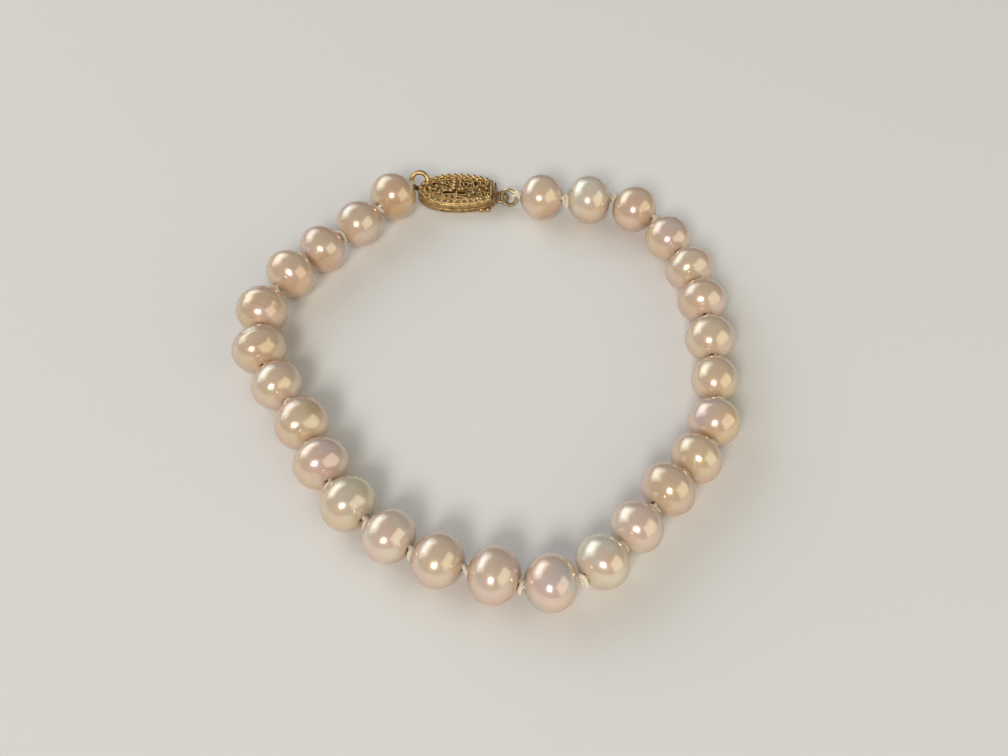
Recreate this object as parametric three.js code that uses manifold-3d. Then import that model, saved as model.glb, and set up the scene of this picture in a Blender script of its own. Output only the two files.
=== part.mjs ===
// A closed pearl bracelet lying on a flat surface: pearls on one knotted silk thread, joined by a
// filigree box clasp with its fishhook pushed home. Millimetres, +Z up, the surface at z = 0.
import * as THREE from "three";
import { mergeVertices } from "three/addons/utils/BufferGeometryUtils.js";
import Module from "manifold-3d";

const HOLE_RADIUS = 0.45;
const COUNTERSINK_RADIUS = 0.7;
const COUNTERSINK_DEPTH = 0.35;
const PEARL_BANDS = 7; // odd, so that one band straddles the widest place
const PEARL_SIDES = 14;

const THREAD_RADIUS = 0.16;
const THREAD_SIDES = 6;
// A knot is a squat ball on the thread: its radius at places along it.
const KNOT_STATIONS = [
  { at: -0.3, radius: THREAD_RADIUS },
  { at: -0.15, radius: 0.4 },
  { at: 0.15, radius: 0.4 },
  { at: 0.3, radius: THREAD_RADIUS },
];
const END_KNOT_STAND_OFF = 0.15; // from the mouth of an end pearl's hole to its knot
const THREAD_LOOP_RADIUS = 0.62;

// Each pearl in stringing order, with its width across the thread, its length along the thread,
// and the gap that the knot after it fills.
const PEARLS = [
  { across: 6.3, along: 6.1, gap: 0.5 },
  { across: 6.7, along: 6.1, gap: 0.5 },
  { across: 6.4, along: 6.1, gap: 0.9 },
  { across: 6.2, along: 6.2, gap: 0.7 },
  { across: 6.4, along: 5.4, gap: 0.35 },
  { across: 6.4, along: 5.5, gap: 0.8 },
  { across: 6.3, along: 6.0, gap: 0.5 },
  { across: 5.9, along: 6.1, gap: 0.95 },
  { across: 6.4, along: 5.8, gap: 0.35 },
  { across: 6.4, along: 5.3, gap: 0.35 },
  { across: 6.7, along: 5.6, gap: 0.65 },
  { across: 6.3, along: 5.7, gap: 0.35 },
  { across: 6.4, along: 5.7, gap: 0.45 },
  { across: 6.5, along: 6.0, gap: 0.3 },
  { across: 6.6, along: 5.9, gap: 0.55 },
  { across: 6.3, along: 5.9, gap: 0.45 },
  { across: 6.4, along: 5.9, gap: 0.55 },
  { across: 6.6, along: 6.0, gap: 0.65 },
  { across: 6.7, along: 5.9, gap: 0.55 },
  { across: 6.6, along: 6.2, gap: 0.95 },
  { across: 6.3, along: 5.9, gap: 0.4 },
  { across: 6.8, along: 5.8, gap: 0.6 },
  { across: 6.7, along: 6.4, gap: 1.15 },
  { across: 6.8, along: 5.8, gap: 0.3 },
  { across: 6.5, along: 5.8, gap: 0.85 },
  { across: 6.3, along: 6.3, gap: 0.6 },
  { across: 6.7, along: 6.1, gap: 0.6 },
];

// The way that the string lies, from the hook's side of the clasp round to the box's side.
const STRING_ROUTE = [
  { x: 8, y: 29.5 },
  { x: 21, y: 27 },
  { x: 27.5, y: 15 },
  { x: 28.5, y: 9.5 },
  { x: 27.5, y: -11.5 },
  { x: 21.5, y: -20 },
  { x: 13.5, y: -29.5 },
  { x: 10, y: -32 },
  { x: -4, y: -29.5 },
  { x: -15, y: -22 },
  { x: -21.5, y: -10.5 },
  { x: -28, y: 1 },
  { x: -28.5, y: 8 },
  { x: -25.5, y: 14.5 },
  { x: -17.5, y: 24 },
  { x: -12.5, y: 30 },
];
const ROUTE_STEPS = 3000;
const RUN_ON = 3; // how far the route runs straight on past its last point
const STRAIGHTENING_PASSES = 30;
const END_PEARL_SLOPE_SHARE = 0.55;
const TIPPED_PEARL_LIFT = 0.06;

// The clasp has its own frame: u along it towards the mouth, v across it, w out of its openwork face.
const CLASP_PLACE = { x: -4.15, y: 32.3, z: 1.38 };
const CLASP_TURN = THREE.MathUtils.degToRad(-1);
const CLASP_ROLL = THREE.MathUtils.degToRad(9);
const BOX_HALF_WIDTH = 2.85;
const BOX_TIP = 5.5; // from the widest place to the closed tip
const BOX_MOUTH = 5.3; // from the widest place to the mouth
const BOX_MOUTH_TAPER = 6.67; // where the mouth end's curve would meet if it weren't cut off
const BOX_BAND = 1.8;
const BOX_WALL = 0.35;
const BOX_FLOOR = 0.3;
const SEAM_HEIGHT = 0.3;
const SEAM_DEPTH = 0.15;
const COVER_CROWN = 0.3;
const COVER_ROUNDING = 0.45;
const COVER_THICKNESS = 0.15; // of the cover that reaches down into the band

// Windows through the cover: where they are, how long and wide, and how far turned, in degrees.
const COVER_WINDOWS = [
  { u: -1.0, v: -0.5, length: 1.3, width: 0.5, turn: 0 },
  { u: 1.1, v: -0.5, length: 1.3, width: 0.5, turn: 0 },
  { u: -1.2, v: 1.0, length: 1.2, width: 0.7, turn: 15 },
  { u: 1.3, v: 1.0, length: 1.4, width: 0.6, turn: -10 },
  { u: -3.2, v: 0.1, length: 0.9, width: 0.5, turn: 0 },
  { u: 3.7, v: -0.6, length: 1.0, width: 0.5, turn: 10 },
];
const CROSS_RIB = { u: 0.05, halfLength: 2.5, radius: 0.3 };
const CATCH_BAR = { u: 4.75, w: 0.42, halfLength: 1.9, radius: 0.2 };
const CATCH_BALLS = [
  { u: 3.65, v: 2.4, w: -0.6, radius: 0.36 },
  { u: 4.55, v: 2.4, w: -0.58, radius: 0.38 },
];
const PART_OVERLAP = 0.02; // by which stacked parts of the box run into each other
const CUT_CLEARANCE = 0.5; // by which a cut runs out past what it cuts
const TIP_RING = { radius: 1.15, wire: 0.3, lean: THREE.MathUtils.degToRad(46) };
const TIP_RING_CENTRE = new THREE.Vector3(-5.24, 1.19, 1.35);
const TIP_RING_FACES = new THREE.Vector3(0, -Math.cos(TIP_RING.lean), Math.sin(TIP_RING.lean));

const HOOK_WIDTH = 1.4;
const HOOK_INNER_END = -3.5;
const HOOK_RETURN_END = 4.1;
const HOOK_OUTER_END = 5.7;
const HOOK_LOWER_LEG = { bottom: -0.35, top: -0.1 };
const HOOK_RETURN_LEG = { bottom: 0.28, top: 0.5 };
// The cap on the hook's outer end, which stands before the mouth and narrows to the eye.
const HOOK_CAP = { from: 5.54, to: 5.95, halfWidth: 1.45, halfHeight: 0.52, narrowing: 0.3 };
const HOOK_SLEW = THREE.MathUtils.degToRad(-3.5);
const HOOK_EYE = { u: 6.5, w: -0.22, radius: 0.85, wire: 0.2 };

const JUMP_RING = { x: 3.38, y: 31.42, z: 1.44, radius: 1.14, wire: 0.24 };
const JUMP_RING_FACES = new THREE.Vector3(-0.42, -0.86, 0.3).normalize();

const UP = new THREE.Vector3(0, 0, 1);

const pearlFinish = new THREE.MeshStandardMaterial({ color: 0xead7c2, roughness: 0.2, metalness: 0 });
const silkFinish = new THREE.MeshStandardMaterial({ color: 0xf2e8d8, roughness: 0.8, metalness: 0 });
const oldGoldFinish = new THREE.MeshStandardMaterial({ color: 0xb8935a, roughness: 0.35, metalness: 1 });
const paleGoldFinish = new THREE.MeshStandardMaterial({ color: 0xcdbb7c, roughness: 0.3, metalness: 1 });

const wasm = await Module();
wasm.setup();

function solidFrom(geometry) {
  const bare = geometry.clone();
  bare.deleteAttribute("normal");
  bare.deleteAttribute("uv");
  const merged = mergeVertices(bare, 1e-4);
  return new wasm.Manifold(
    new wasm.Mesh({
      numProp: 3,
      vertProperties: merged.attributes.position.array,
      triVerts: new Uint32Array(merged.index.array),
    }),
  );
}

function geometryFrom(solid) {
  const mesh = solid.getMesh();
  const geometry = new THREE.BufferGeometry();
  geometry.setAttribute("position", new THREE.BufferAttribute(mesh.vertProperties, 3));
  geometry.setIndex(new THREE.BufferAttribute(mesh.triVerts, 1));
  geometry.computeVertexNormals();
  return geometry;
}

const joined = (geometries) => geometries.map(solidFrom).reduce((whole, piece) => whole.add(piece));

function ball(centre, radius) {
  return new THREE.IcosahedronGeometry(radius, 1).translate(centre.x, centre.y, centre.z);
}

function rod(from, to, radius, sides = 6) {
  const along = to.clone().sub(from);
  const turn = new THREE.Quaternion().setFromUnitVectors(
    new THREE.Vector3(0, 1, 0),
    along.clone().normalize(),
  );
  const middle = from.clone().add(to).multiplyScalar(0.5);
  return new THREE.CylinderGeometry(radius, radius, along.length(), sides)
    .applyQuaternion(turn)
    .translate(middle.x, middle.y, middle.z);
}

function wireRing(centre, faces, radius, wire, sides = 6, steps = 20) {
  const turn = new THREE.Quaternion().setFromUnitVectors(UP, faces);
  return new THREE.TorusGeometry(radius, wire, sides, steps)
    .applyQuaternion(turn)
    .translate(centre.x, centre.y, centre.z);
}

// A closed tube of changing radius through stations, each with a place, a direction and a radius.
function tubeThrough(stations) {
  const points = [];
  const faces = [];
  stations.forEach(({ place, along, radius }) => {
    const side = along.clone().cross(UP).normalize();
    const up = side.clone().cross(along).normalize();
    for (let i = 0; i < THREAD_SIDES; i += 1) {
      const angle = (2 * Math.PI * i) / THREAD_SIDES;
      const point = place
        .clone()
        .addScaledVector(side, radius * Math.cos(angle))
        .addScaledVector(up, radius * Math.sin(angle));
      points.push(point);
    }
  });
  for (let s = 0; s + 1 < stations.length; s += 1) {
    for (let i = 0; i < THREAD_SIDES; i += 1) {
      const next = (i + 1) % THREAD_SIDES;
      const [a, b] = [s * THREAD_SIDES + i, s * THREAD_SIDES + next];
      faces.push(a, b + THREAD_SIDES, b, a, a + THREAD_SIDES, b + THREAD_SIDES);
    }
  }
  const lastRing = (stations.length - 1) * THREAD_SIDES;
  for (let i = 1; i + 1 < THREAD_SIDES; i += 1) {
    faces.push(0, i, i + 1, lastRing, lastRing + i + 1, lastRing + i);
  }
  return new THREE.BufferGeometry().setFromPoints(points).setIndex(faces);
}

// A drilled pearl about the Y axis. Its flats, not its corners, stand at its width, so that the flat
// below its widest place lies on the surface.
function pearlGeometry({ across, along }) {
  const halfBand = (end) => end / PEARL_BANDS;
  let girth = across / 2;
  let end = Math.acos(COUNTERSINK_RADIUS / girth);
  girth /= Math.cos(halfBand(end)) * Math.cos(Math.PI / PEARL_SIDES);
  end = Math.acos(COUNTERSINK_RADIUS / girth);
  const halfLength = along / 2;
  const profile = [];
  for (let band = 0; band <= PEARL_BANDS; band += 1) {
    const latitude = -end + (2 * end * band) / PEARL_BANDS;
    const height = (halfLength * Math.sin(latitude)) / Math.sin(end);
    profile.push(new THREE.Vector2(girth * Math.cos(latitude), height));
  }
  profile.push(new THREE.Vector2(HOLE_RADIUS, halfLength - COUNTERSINK_DEPTH));
  profile.push(new THREE.Vector2(HOLE_RADIUS, COUNTERSINK_DEPTH - halfLength));
  profile.push(profile[0].clone());
  return new THREE.LatheGeometry(profile, PEARL_SIDES, Math.PI / PEARL_SIDES);
}

// The pearls' centres: each is a chord from the one before it, along the route.
function stringPearls() {
  const route = new THREE.CatmullRomCurve3(
    STRING_ROUTE.map(({ x, y }) => new THREE.Vector3(x, y, 0)),
  );
  const last = route.getPoint(1);
  const straightOn = route.getTangent(1);
  const beyond = last.clone().addScaledVector(straightOn, RUN_ON);
  const path = [];
  for (let step = 0; step <= ROUTE_STEPS; step += 1) path.push(route.getPoint(step / ROUTE_STEPS));
  path.push(beyond);
  const centres = [path[0].clone()];
  let at = 0;
  for (let i = 0; i + 1 < PEARLS.length; i += 1) {
    const chord = (PEARLS[i].along + PEARLS[i + 1].along) / 2 + PEARLS[i].gap;
    const from = centres[i];
    while (path[at + 1].distanceTo(from) < chord) at += 1;
    const short = path[at].distanceTo(from);
    const share = (chord - short) / (path[at + 1].distanceTo(from) - short);
    centres.push(path[at].clone().lerp(path[at + 1], share));
  }
  centres.forEach((centre, i) => centre.setZ(PEARLS[i].across / 2));
  return centres;
}

// The point of a ring's wire that is nearest to a place.
function nearestOnRing(centre, faces, radius, place) {
  const out = place.clone().sub(centre);
  out.addScaledVector(faces, -out.dot(faces)).normalize();
  return centre.clone().addScaledVector(out, radius);
}

// The clasp's outline in plan, drawn in from its edge by an inset, and cut off square at the mouth.
function claspOutline(inset, mouth) {
  const width = BOX_HALF_WIDTH - inset;
  const taper = BOX_MOUTH_TAPER - inset;
  const cut = Math.acos(mouth / taper);
  const outline = new THREE.Shape();
  outline.absellipse(0, 0, BOX_TIP - inset, width, Math.PI / 2, (3 * Math.PI) / 2, false, 0);
  outline.absellipse(0, 0, taper, width, (3 * Math.PI) / 2, 2 * Math.PI - cut, false, 0);
  outline.lineTo(mouth, width * Math.sin(cut));
  outline.absellipse(0, 0, taper, width, cut, Math.PI / 2, false, 0);
  return outline;
}

function plate(inset, from, to, mouth = BOX_MOUTH) {
  const settings = { depth: to - from, bevelEnabled: false, curveSegments: 7 };
  return new THREE.ExtrudeGeometry(claspOutline(inset, mouth), settings).translate(0, 0, from);
}

function claspBoxGeometry() {
  const top = BOX_BAND / 2;
  const seam = SEAM_HEIGHT / 2;
  const cover = new THREE.ExtrudeGeometry(
    claspOutline(COVER_ROUNDING + PART_OVERLAP, BOX_MOUTH - COVER_ROUNDING),
    {
      depth: COVER_THICKNESS,
      bevelThickness: COVER_CROWN,
      bevelSize: COVER_ROUNDING,
      bevelSegments: 2,
      curveSegments: 7,
    },
  ).translate(0, 0, top - COVER_THICKNESS);
  const rib = [-1, 1].map(
    (side) => new THREE.Vector3(CROSS_RIB.u, side * CROSS_RIB.halfLength, top + COVER_CROWN / 2),
  );
  const bar = [-1, 1].map(
    (side) => new THREE.Vector3(CATCH_BAR.u, side * CATCH_BAR.halfLength, CATCH_BAR.w),
  );
  const shell = joined([
    plate(0, -top, -seam),
    plate(SEAM_DEPTH, -seam - PART_OVERLAP, seam + PART_OVERLAP),
    plate(0, seam, top),
    cover,
    rod(rib[0], rib[1], CROSS_RIB.radius),
    wireRing(TIP_RING_CENTRE, TIP_RING_FACES, TIP_RING.radius, TIP_RING.wire),
  ]);
  const hollow = plate(BOX_WALL, BOX_FLOOR - top, top - COVER_THICKNESS, BOX_MOUTH + CUT_CLEARANCE);
  const windows = COVER_WINDOWS.map(({ u, v, length, width, turn }) =>
    new THREE.CylinderGeometry(0.5, 0.5, BOX_BAND, 10)
      .rotateX(Math.PI / 2)
      .scale(length, width, 1)
      .rotateZ(THREE.MathUtils.degToRad(turn))
      .translate(u, v, BOX_BAND),
  );
  let solid = shell.subtract(solidFrom(hollow));
  for (const window of windows) solid = solid.subtract(solidFrom(window));
  const balls = CATCH_BALLS.flatMap(({ u, v, w, radius }) =>
    [-1, 1].map((side) => ball(new THREE.Vector3(u, side * v, w), radius)),
  );
  return geometryFrom(solid.add(joined([rod(bar[0], bar[1], CATCH_BAR.radius), ...balls])));
}

// The fishhook is a strip folded back on itself, with a round eye on its outer end.
function claspHookGeometry() {
  const lower = HOOK_LOWER_LEG;
  const back = HOOK_RETURN_LEG;
  const strip = new THREE.Shape();
  strip.moveTo(HOOK_OUTER_END, lower.bottom);
  strip.lineTo(HOOK_OUTER_END, lower.top);
  strip.lineTo(HOOK_INNER_END, lower.top);
  const inner = (back.bottom - lower.top) / 2;
  strip.absarc(HOOK_INNER_END, lower.top + inner, inner, (3 * Math.PI) / 2, Math.PI / 2, true);
  strip.lineTo(HOOK_RETURN_END, back.bottom);
  strip.lineTo(HOOK_RETURN_END, back.top);
  strip.lineTo(HOOK_INNER_END, back.top);
  const outer = (back.top - lower.bottom) / 2;
  strip.absarc(HOOK_INNER_END, lower.bottom + outer, outer, Math.PI / 2, (3 * Math.PI) / 2, false);
  const folded = new THREE.ExtrudeGeometry(strip, {
    depth: HOOK_WIDTH,
    bevelEnabled: false,
    curveSegments: 6,
  })
    .rotateX(Math.PI / 2)
    .translate(0, HOOK_WIDTH / 2, 0);
  const eye = new THREE.Vector3(HOOK_EYE.u, 0, HOOK_EYE.w);
  const cap = new THREE.CylinderGeometry(HOOK_CAP.narrowing, 1, HOOK_CAP.to - HOOK_CAP.from, 4)
    .rotateY(Math.PI / 4)
    .scale(Math.SQRT2 * HOOK_CAP.halfHeight, 1, Math.SQRT2 * HOOK_CAP.halfWidth)
    .rotateZ(-Math.PI / 2)
    .rotateX(Math.PI / 2)
    .translate((HOOK_CAP.from + HOOK_CAP.to) / 2, 0, HOOK_EYE.w);
  return geometryFrom(joined([folded, cap, wireRing(eye, UP, HOOK_EYE.radius, HOOK_EYE.wire)]));
}

// One thread runs through every pearl with a knot in each gap, and is looped through a ring at each end.
function threadGeometry(pearls, ends) {
  const first = pearls[0];
  const last = pearls[pearls.length - 1];
  const mouths = pearls.map((pearl) => ({ enters: entersAt(pearl), leaves: leavesAt(pearl) }));
  const knots = [
    {
      centre: mouths[0].enters.clone().addScaledVector(first.axis, -END_KNOT_STAND_OFF),
      axis: first.axis,
    },
  ];
  for (let i = 0; i + 1 < pearls.length; i += 1) {
    const across = mouths[i + 1].enters.clone().sub(mouths[i].leaves);
    knots.push({
      centre: mouths[i].leaves.clone().addScaledVector(across, 0.5),
      axis: across.normalize(),
    });
  }
  knots.push({
    centre: mouths[mouths.length - 1].leaves.clone().addScaledVector(last.axis, END_KNOT_STAND_OFF),
    axis: last.axis,
  });
  const stations = [];
  knots.forEach(({ centre, axis }, i) => {
    KNOT_STATIONS.forEach(({ at, radius }) => {
      stations.push({ place: centre.clone().addScaledVector(axis, at), along: axis, radius });
    });
    if (i < pearls.length) {
      stations.push({ place: pearls[i].centre, along: pearls[i].axis, radius: THREAD_RADIUS });
    }
  });
  const pieces = [tubeThrough(stations)];
  ends.forEach(({ ring, end }) => {
    const centre = knots[end === "first" ? 0 : knots.length - 1].centre;
    const wire = nearestOnRing(ring.centre, ring.faces, ring.radius, centre);
    const toKnot = centre.clone().sub(wire).normalize();
    const outOfRing = wire.clone().sub(ring.centre).normalize();
    const along = ring.faces.clone().cross(outOfRing).normalize();
    const loopTop = wire.clone().addScaledVector(toKnot, THREAD_LOOP_RADIUS);
    pieces.push(wireRing(wire, along, THREAD_LOOP_RADIUS, THREAD_RADIUS, 6, 14));
    if (loopTop.distanceTo(centre) > THREAD_RADIUS) pieces.push(rod(loopTop, centre, THREAD_RADIUS));
  });
  return geometryFrom(joined(pieces));
}

const bracelet = new THREE.Group();

const clasp = new THREE.Group();
clasp.position.set(CLASP_PLACE.x, CLASP_PLACE.y, CLASP_PLACE.z);
clasp.rotation.set(CLASP_ROLL, 0, CLASP_TURN, "ZYX");
bracelet.add(clasp);

const claspBox = new THREE.Mesh(claspBoxGeometry(), oldGoldFinish);
claspBox.name = "clasp_box";
clasp.add(claspBox);

const claspHook = new THREE.Mesh(claspHookGeometry(), oldGoldFinish);
claspHook.name = "clasp_hook";
claspHook.rotation.z = HOOK_SLEW;
clasp.add(claspHook);

const jumpRingCentre = new THREE.Vector3(JUMP_RING.x, JUMP_RING.y, JUMP_RING.z);
const jumpRing = new THREE.Mesh(
  new THREE.TorusGeometry(JUMP_RING.radius, JUMP_RING.wire, 8, 24),
  paleGoldFinish,
);
jumpRing.name = "jump_ring";
jumpRing.position.copy(jumpRingCentre);
jumpRing.quaternion.setFromUnitVectors(UP, JUMP_RING_FACES);
bracelet.add(jumpRing);

clasp.updateMatrixWorld(true);
const rings = {
  first: { centre: jumpRingCentre, faces: JUMP_RING_FACES, radius: JUMP_RING.radius },
  last: {
    centre: TIP_RING_CENTRE.clone().applyMatrix4(clasp.matrixWorld),
    faces: TIP_RING_FACES.clone().transformDirection(clasp.matrixWorld),
    radius: TIP_RING.radius,
  },
};

// The mouths of a pearl's hole, where the thread enters it and where it leaves.
const entersAt = ({ centre, axis, half }) => centre.clone().addScaledVector(axis, -half);
const leavesAt = ({ centre, axis, half }) => centre.clone().addScaledVector(axis, half);

// Each pearl turns until its hole lies along the line between the mouths on either side of it. An end
// pearl has the nearest wire of its ring on one side, and takes a share of the slope down to it. The
// others keep their holes level.
const ringEnd = (ring, centre) => nearestOnRing(ring.centre, ring.faces, ring.radius, centre);
const strung = stringPearls().map((centre, i) => ({
  centre,
  half: PEARLS[i].along / 2,
  axis: new THREE.Vector3(),
}));
for (let pass = 0; pass < STRAIGHTENING_PASSES; pass += 1) {
  const aims = strung.map(({ centre }, i) => {
    const from = i > 0 ? leavesAt(strung[i - 1]) : ringEnd(rings.first, centre);
    const to = i + 1 < strung.length ? entersAt(strung[i + 1]) : ringEnd(rings.last, centre);
    const isEnd = i === 0 || i + 1 === strung.length;
    const aim = to.sub(from);
    return aim.setZ(isEnd ? END_PEARL_SLOPE_SHARE * aim.z : 0);
  });
  strung.forEach((pearl, i) => pearl.axis.add(aims[i].normalize()).normalize());
}

// An end pearl is tipped, so it is lifted until it clears the surface.
[strung[0], strung[strung.length - 1]].forEach((pearl) => {
  pearl.centre.z += TIPPED_PEARL_LIFT;
});

strung.forEach(({ centre, axis }, i) => {
  const pearl = new THREE.Mesh(pearlGeometry(PEARLS[i]), pearlFinish);
  pearl.name = `pearl_${String(i + 1).padStart(2, "0")}`;
  const up = UP.clone().addScaledVector(axis, -UP.dot(axis)).normalize();
  const side = axis.clone().cross(up);
  pearl.quaternion.setFromRotationMatrix(new THREE.Matrix4().makeBasis(side, axis, up));
  pearl.position.copy(centre);
  bracelet.add(pearl);
});

const thread = new THREE.Mesh(
  threadGeometry(strung, [
    { ring: rings.first, end: "first" },
    { ring: rings.last, end: "last" },
  ]),
  silkFinish,
);
thread.name = "silk_thread";
bracelet.add(thread);

// The origin is the middle of the base of the whole bracelet's box.
bracelet.updateMatrixWorld(true);
const box = new THREE.Box3().setFromObject(bracelet, true);
const middle = box.getCenter(new THREE.Vector3());
bracelet.position.set(-middle.x, -middle.y, -box.min.z);

const part = new THREE.Group();
part.add(bracelet);

export default part;
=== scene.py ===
import math
import bpy
from mathutils import Matrix, Vector


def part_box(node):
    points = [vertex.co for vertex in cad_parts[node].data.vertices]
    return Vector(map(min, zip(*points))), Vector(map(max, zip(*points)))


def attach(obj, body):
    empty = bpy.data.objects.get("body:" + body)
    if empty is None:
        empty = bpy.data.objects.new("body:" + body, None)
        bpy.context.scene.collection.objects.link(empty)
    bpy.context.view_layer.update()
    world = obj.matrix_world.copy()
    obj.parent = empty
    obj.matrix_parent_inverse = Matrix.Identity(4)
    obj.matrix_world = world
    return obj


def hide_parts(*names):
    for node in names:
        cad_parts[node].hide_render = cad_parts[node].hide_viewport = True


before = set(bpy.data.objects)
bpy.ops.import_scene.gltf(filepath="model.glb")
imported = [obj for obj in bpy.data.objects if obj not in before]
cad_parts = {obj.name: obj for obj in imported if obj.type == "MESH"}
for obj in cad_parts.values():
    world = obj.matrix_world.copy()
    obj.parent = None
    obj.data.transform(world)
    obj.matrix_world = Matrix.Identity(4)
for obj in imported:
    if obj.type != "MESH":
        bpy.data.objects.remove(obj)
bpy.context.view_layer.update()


# --------------------------------------------------------------------------------------------
# The pearls. Twenty-seven cultured pearls of about 6.5 mm, cream to peach nacre with a high
# lustre, each a little flattened along its hole and never quite round. They are drilled right
# through, knotted side by side on silk, and lie on the surface.
# --------------------------------------------------------------------------------------------

MM = 0.001


def add(tree, kind, wires=None, **settings):
    made = tree.nodes.new(kind)
    for key, value in settings.items():
        setattr(made, key, value)
    for key, value in (wires or {}).items():
        if isinstance(value, bpy.types.NodeSocket):
            tree.links.new(value, made.inputs[key])
        else:
            made.inputs[key].default_value = value
    return made


def blend(tree, share, first, second, how="MIX"):
    return add(tree, "ShaderNodeMix", {0: share, 6: first, 7: second},
               data_type="RGBA", blend_type=how).outputs[2]


def ramp(tree, value, low, high, bottom=0.0, top=1.0):
    return add(tree, "ShaderNodeMapRange", {0: value, 1: low, 2: high, 3: bottom, 4: top},
               interpolation_type="SMOOTHSTEP").outputs[0]


def group(name, inputs, outputs):
    made = bpy.data.node_groups.new(name, "ShaderNodeTree")
    for label, kind, default in inputs:
        made.interface.new_socket(label, in_out="INPUT", socket_type=kind).default_value = default
    for label, kind in outputs:
        made.interface.new_socket(label, in_out="OUTPUT", socket_type=kind)
    return made, made.nodes.new("NodeGroupInput").outputs, made.nodes.new("NodeGroupOutput").inputs


def use(tree, shared, **values):
    made = tree.nodes.new("ShaderNodeGroup")
    made.node_tree = shared
    for key, value in values.items():
        socket = made.inputs[key.replace("_", " ")]
        if isinstance(value, bpy.types.NodeSocket):
            tree.links.new(value, socket)
        else:
            socket.default_value = value
    return made.outputs


# Nacre grows in thin sheets: soft clouds of the overtone, faint rings round the hole, and a
# fine skin that is slightly uneven.
nacre_skin, skin_in, skin_out = group(
    "nacre_skin",
    [("Body", "NodeSocketColor", (0.8, 0.62, 0.48, 1)),
     ("Overtone", "NodeSocketColor", (0.8, 0.6, 0.6, 1)),
     ("Rings", "NodeSocketFloat", 0.3),
     ("Turn", "NodeSocketFloat", 0.0)],
    [("Color", "NodeSocketColor"), ("Roughness", "NodeSocketFloat"), ("Height", "NodeSocketFloat")])
place = add(nacre_skin, "ShaderNodeTexCoord").outputs
clouds = add(nacre_skin, "ShaderNodeTexNoise",
             {"Vector": place["Object"], "Scale": 210.0, "Detail": 2.0, "Roughness": 0.45}).outputs[0]
cloud_mask = ramp(nacre_skin, clouds, 0.40, 0.64)
mottle = add(nacre_skin, "ShaderNodeTexNoise",
             {"Vector": place["Object"], "Scale": 900.0, "Detail": 4.0, "Roughness": 0.55}).outputs[0]
along = add(nacre_skin, "ShaderNodeSeparateXYZ", {0: place["UV"]}).outputs[1]
ring_place = add(nacre_skin, "ShaderNodeMath", {0: mottle, 1: 0.05, 2: along},
                 operation="MULTIPLY_ADD").outputs[0]
ring_turn = add(nacre_skin, "ShaderNodeMath", {0: ring_place, 1: skin_in["Turn"]}, operation="ADD").outputs[0]
rings = add(nacre_skin, "ShaderNodeTexNoise", {"W": ring_turn, "Scale": 11.0, "Detail": 2.0},
            noise_dimensions="1D").outputs[0]
ring_mask = ramp(nacre_skin, rings, 0.36, 0.66)
tinted = blend(nacre_skin, cloud_mask, skin_in["Body"], skin_in["Overtone"])
ring_share = add(nacre_skin, "ShaderNodeMath", {0: ring_mask, 1: skin_in["Rings"]},
                 operation="MULTIPLY").outputs[0]
ringed = blend(nacre_skin, ring_share, tinted, (0.93, 0.88, 0.80, 1), "MULTIPLY")
mottle_share = ramp(nacre_skin, mottle, 0.35, 0.75, 0.0, 0.35)
mottled = blend(nacre_skin, mottle_share, ringed, (0.97, 0.91, 0.83, 1), "MULTIPLY")
nacre_skin.links.new(mottled, skin_out["Color"])
nacre_skin.links.new(ramp(nacre_skin, mottle, 0.3, 0.7, 0.20, 0.27), skin_out["Roughness"])
lumps = add(nacre_skin, "ShaderNodeTexNoise",
            {"Vector": place["Object"], "Scale": 420.0, "Detail": 2.0, "Roughness": 0.4}).outputs[0]
nacre_skin.links.new(add(nacre_skin, "ShaderNodeMath", {0: rings, 1: skin_in["Rings"], 2: lumps},
                         operation="MULTIPLY_ADD").outputs[0], skin_out["Height"])

cream_peach, peach_tan, silver_cream = (0.78, 0.595, 0.445), (0.75, 0.545, 0.385), (0.78, 0.70, 0.59)
pink_cream, golden_peach, green_cream = (0.80, 0.595, 0.50), (0.78, 0.58, 0.39), (0.74, 0.645, 0.495)
grey_pink, blue_grey, warm_tan = (0.73, 0.565, 0.51), (0.65, 0.615, 0.62), (0.72, 0.50, 0.335)

# pearl: body tone, overtone, how strongly the growth rings show
NACRE = {
    1: (cream_peach, pink_cream, 0.15), 2: (cream_peach, silver_cream, 0.2),
    3: (peach_tan, pink_cream, 0.25), 4: (cream_peach, grey_pink, 0.3),
    5: (cream_peach, golden_peach, 0.3), 6: (peach_tan, pink_cream, 0.2),
    7: (cream_peach, pink_cream, 0.25), 8: (cream_peach, golden_peach, 0.2),
    9: (grey_pink, golden_peach, 0.2), 10: (golden_peach, cream_peach, 0.2),
    11: (pink_cream, peach_tan, 0.15), 12: (pink_cream, silver_cream, 0.15),
    13: (silver_cream, cream_peach, 0.1), 14: (pink_cream, blue_grey, 0.1),
    15: (pink_cream, cream_peach, 0.2), 16: (cream_peach, pink_cream, 0.2),
    17: (silver_cream, pink_cream, 0.15), 18: (green_cream, cream_peach, 0.25),
    19: (cream_peach, grey_pink, 0.3), 20: (golden_peach, cream_peach, 0.3),
    21: (cream_peach, pink_cream, 0.2), 22: (cream_peach, peach_tan, 0.6),
    23: (peach_tan, pink_cream, 0.7), 24: (peach_tan, cream_peach, 0.25),
    25: (peach_tan, pink_cream, 0.2), 26: (peach_tan, grey_pink, 0.2),
    27: (warm_tan, cream_peach, 0.2),
}
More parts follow.
